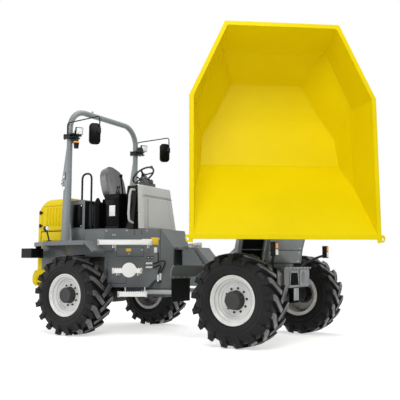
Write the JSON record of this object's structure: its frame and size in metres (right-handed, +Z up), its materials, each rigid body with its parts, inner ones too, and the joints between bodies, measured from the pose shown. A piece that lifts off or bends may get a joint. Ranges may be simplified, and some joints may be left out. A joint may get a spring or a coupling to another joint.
{
  "type": "articulated wheel dumper",
  "caption": "Articulated site dumper on lugged tyres, with a swivelling front skip tipped to the right, an open operator's deck and a folding roll hoop.",
  "frame": {"origin": "on the ground, under the middle of the whole machine's box", "axes": "+X forward, +Y to the machine's left, +Z up"},
  "size_m": [5.1086, 2.9052, 3.6633],
  "materials": {
    "yellow_paint": "satin",
    "chassis_paint": "satin",
    "console_paint": "satin",
    "black_paint": "satin",
    "black_plastic": "matte",
    "seat_vinyl": "matte",
    "step_paint": "satin",
    "tyre_rubber": "matte",
    "rim_paint": "satin",
    "chrome_rod": "polished",
    "flap_rubber": "matte"
  },
  "bodies": {
    "rear_unit": {"rear_frame": "chassis_paint", "side_bodies": "chassis_paint", "steps": "step_paint", "fenders": "chassis_paint", "engine_hood": "yellow_paint", "engine_block": "black_plastic", "rear_bumper": "yellow_paint", "operator_deck": "chassis_paint", "seat": "seat_vinyl", "control_box": "black_plastic", "canister": "black_plastic", "front_console": "console_paint", "steering_column": "console_paint", "steering_wheel": "black_plastic", "grab_rails": "black_paint", "console_handles": "console_paint", "rops_posts": "chassis_paint", "rear_lamps": "black_paint", "axle_rear": "black_paint"},
    "wheel_rear_left": {"tyre_rear_left": "tyre_rubber", "rim_rear_left": "rim_paint"},
    "wheel_rear_right": {"tyre_rear_right": "tyre_rubber", "rim_rear_right": "rim_paint"},
    "front_unit": {"front_frame": "chassis_paint", "mud_flaps": "flap_rubber", "front_lamps": "black_paint", "axle_front": "black_paint"},
    "wheel_front_left": {"tyre_front_left": "tyre_rubber", "rim_front_left": "rim_paint"},
    "wheel_front_right": {"tyre_front_right": "tyre_rubber", "rim_front_right": "rim_paint"},
    "door_left": {"hood_door_left": "yellow_paint"},
    "door_right": {"hood_door_right": "yellow_paint"},
    "upper_hoop": {"rops_hoop": "chassis_paint", "mirrors": "black_paint", "hoop_clamps": "black_paint"},
    "swivel_base": {"pedestal": "chassis_paint"},
    "skip_body": {"skip": "yellow_paint", "skip_brackets": "yellow_paint"},
    "tip_barrel_body": {"tip_barrel": "black_paint"},
    "tip_rod_body": {"tip_rod": "chrome_rod"},
    "steer_barrel_left_body": {"steer_barrel_left": "chassis_paint"},
    "steer_rod_left_body": {"steer_rod_left": "chrome_rod"},
    "steer_barrel_right_body": {"steer_barrel_right": "chassis_paint"},
    "steer_rod_right_body": {"steer_rod_right": "chrome_rod"}
  },
  "joints": [
    {"name": "roll_rear_left", "type": "hinge", "parent": "rear_unit", "child": "wheel_rear_left", "pos_m": [-1.53931, 1.24259, 0.53792], "axis": [0, 1, 0], "continuous": true},
    {"name": "roll_rear_right", "type": "hinge", "parent": "rear_unit", "child": "wheel_rear_right", "pos_m": [-1.53931, -0.63741, 0.53792], "axis": [0, 1, 0], "continuous": true},
    {"name": "roll_front_left", "type": "hinge", "parent": "front_unit", "child": "wheel_front_left", "pos_m": [1.01069, 1.24259, 0.53792], "axis": [0, 1, 0], "continuous": true},
    {"name": "roll_front_right", "type": "hinge", "parent": "front_unit", "child": "wheel_front_right", "pos_m": [1.01069, -0.63741, 0.53792], "axis": [0, 1, 0], "continuous": true},
    {"name": "steer", "type": "hinge", "parent": "rear_unit", "child": "front_unit", "pos_m": [-0.33431, 0.30259, 0.89992], "axis": [0, 0, 1], "range_deg": [-33, 33]},
    {"name": "swivel", "type": "hinge", "parent": "front_unit", "child": "swivel_base", "pos_m": [0.84769, 0.30259, 0.95492], "axis": [0, 0, 1], "range_deg": [-37.4, 142.6]},
    {"name": "tip", "type": "hinge", "parent": "swivel_base", "child": "skip_body", "pos_m": [1.41862, -0.44416, 1.61992], "axis": [-0.7944, -0.6074, 0], "range_deg": [0, 86]},
    {"name": "tip_barrel_turn", "type": "hinge", "parent": "swivel_base", "child": "tip_barrel_body", "pos_m": [0.93879, 0.18343, 1.04492], "axis": [0.7944, 0.6074, 0], "range_deg": [0, 15.13]},
    {"name": "tip_rod_slide", "type": "slide", "parent": "tip_barrel_body", "child": "tip_rod_body", "axis": [0.3871, -0.5063, 0.7706], "range_m": [-0.2628, 0]},
    {"name": "steer_barrel_left_turn", "type": "hinge", "parent": "rear_unit", "child": "steer_barrel_left_body", "pos_m": [-0.82431, 0.63259, 0.57492], "axis": [0, 0, 1], "range_deg": [-14.5, 14.5]},
    {"name": "steer_rod_left_slide", "type": "slide", "parent": "steer_barrel_left_body", "child": "steer_rod_left_body", "axis": [0.9971, -0.0762, 0], "range_m": [-0.168, 0.168]},
    {"name": "steer_barrel_right_turn", "type": "hinge", "parent": "rear_unit", "child": "steer_barrel_right_body", "pos_m": [-0.82431, -0.02741, 0.57492], "axis": [0, 0, 1], "range_deg": [-14.5, 14.5]},
    {"name": "steer_rod_right_slide", "type": "slide", "parent": "steer_barrel_right_body", "child": "steer_rod_right_body", "axis": [0.9971, 0.0762, 0], "range_m": [-0.168, 0.168]},
    {"name": "open_door_left", "type": "hinge", "parent": "rear_unit", "child": "door_left", "pos_m": [-2.40431, 1.02459, 1.61992], "axis": [0, 0, 1], "range_deg": [0, 90]},
    {"name": "open_door_right", "type": "hinge", "parent": "rear_unit", "child": "door_right", "pos_m": [-2.40431, -0.41941, 1.61992], "axis": [0, 0, -1], "range_deg": [0, 90]},
    {"name": "fold_hoop", "type": "hinge", "parent": "rear_unit", "child": "upper_hoop", "pos_m": [-1.91931, 0.30259, 2.12992], "axis": [0, -1, 0], "range_deg": [0, 95]}
  ],
  "couplings": [
    {"joint": "tip_barrel_turn", "follows": "tip", "ratio": 0.17079},
    {"joint": "tip_rod_slide", "follows": "tip", "m_per_rad": -0.17},
    {"joint": "steer_barrel_left_turn", "follows": "steer", "ratio": 0.425},
    {"joint": "steer_rod_left_slide", "follows": "steer", "m_per_rad": -0.288},
    {"joint": "steer_barrel_right_turn", "follows": "steer", "ratio": 0.425},
    {"joint": "steer_rod_right_slide", "follows": "steer", "m_per_rad": 0.288}
  ]
}
